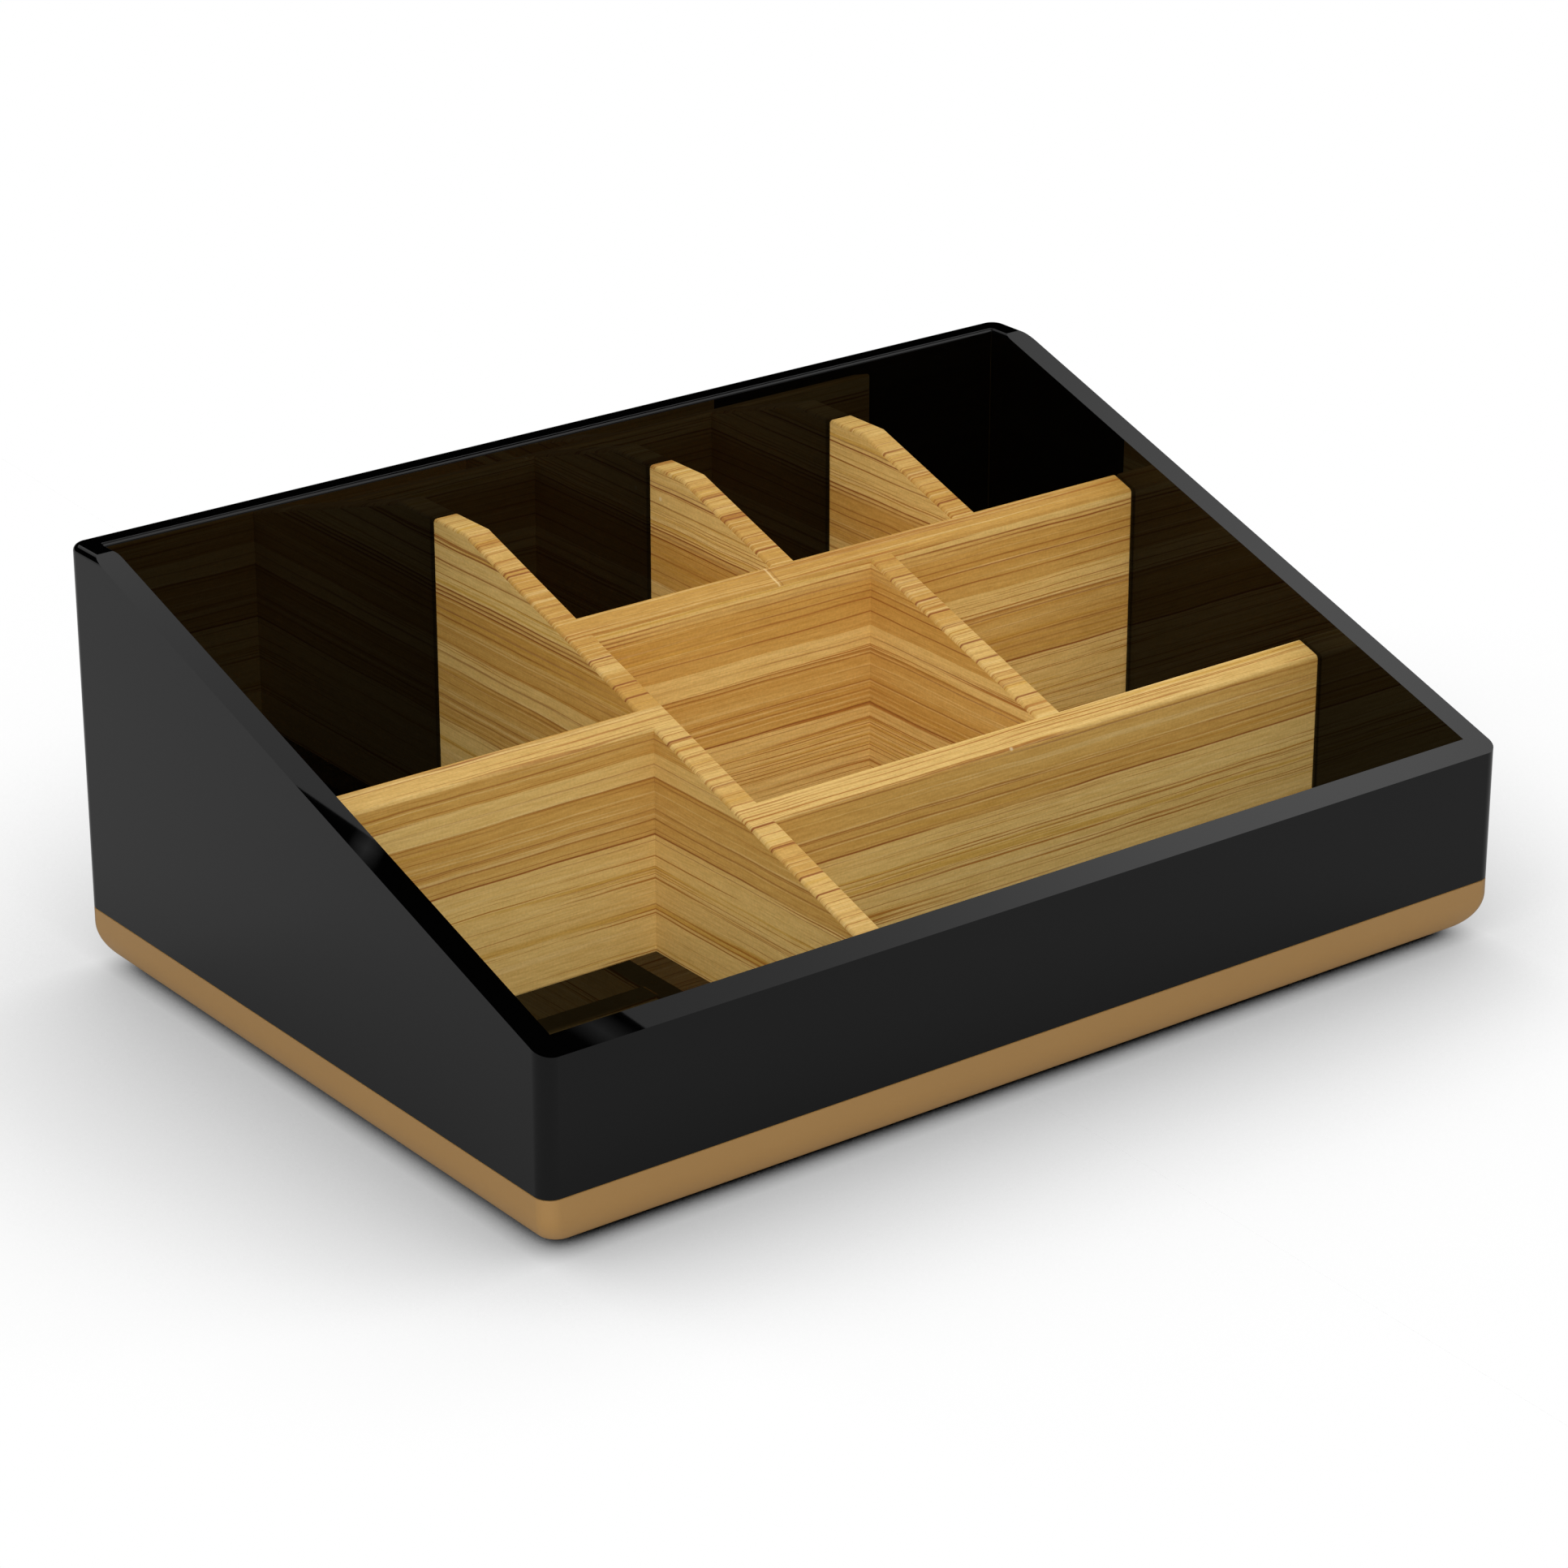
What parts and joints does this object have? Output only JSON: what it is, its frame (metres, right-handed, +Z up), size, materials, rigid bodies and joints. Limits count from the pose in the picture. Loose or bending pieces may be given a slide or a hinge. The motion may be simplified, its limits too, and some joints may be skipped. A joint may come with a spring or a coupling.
{
  "type": "makeup organizer",
  "caption": "Open desktop tray with a rim that slopes down to the front, seated in a rounded base, and split into compartments by a lift-out grid of bamboo boards.",
  "frame": {"origin": "on the table, under the middle of the tray's outline", "axes": "+X to the right along the low front face, +Y from the low front to the high back, +Z up"},
  "size_m": [0.29, 0.2, 0.112],
  "materials": {
    "gloss_black": "polished black",
    "satin_tan": "plain satin tan",
    "bamboo": "clear satin over layered bamboo strips",
    "foot_rubber": "soft matt black",
    "screw_steel": "zinc plated"
  },
  "bodies": {
    "tray": {"outer_shell": "gloss_black", "base_tray": "satin_tan", "foot_front_left": "foot_rubber", "foot_front_right": "foot_rubber", "foot_rear_left": "foot_rubber", "foot_rear_right": "foot_rubber", "screw_front_left": "screw_steel", "screw_front_right": "screw_steel", "screw_rear_left": "screw_steel", "screw_rear_right": "screw_steel"},
    "divider_grid": {"long_divider": "bamboo", "left_cross_divider": "bamboo", "rear_cross_divider": "bamboo", "front_cross_divider": "bamboo", "rear_left_short_divider": "bamboo", "rear_right_short_divider": "bamboo", "middle_short_divider": "bamboo"}
  },
  "joints": [
    {"name": "divider_grid_lift", "type": "slide", "parent": "tray", "child": "divider_grid", "axis": [0, 0, 1], "range_m": [0, 0.11]}
  ]
}
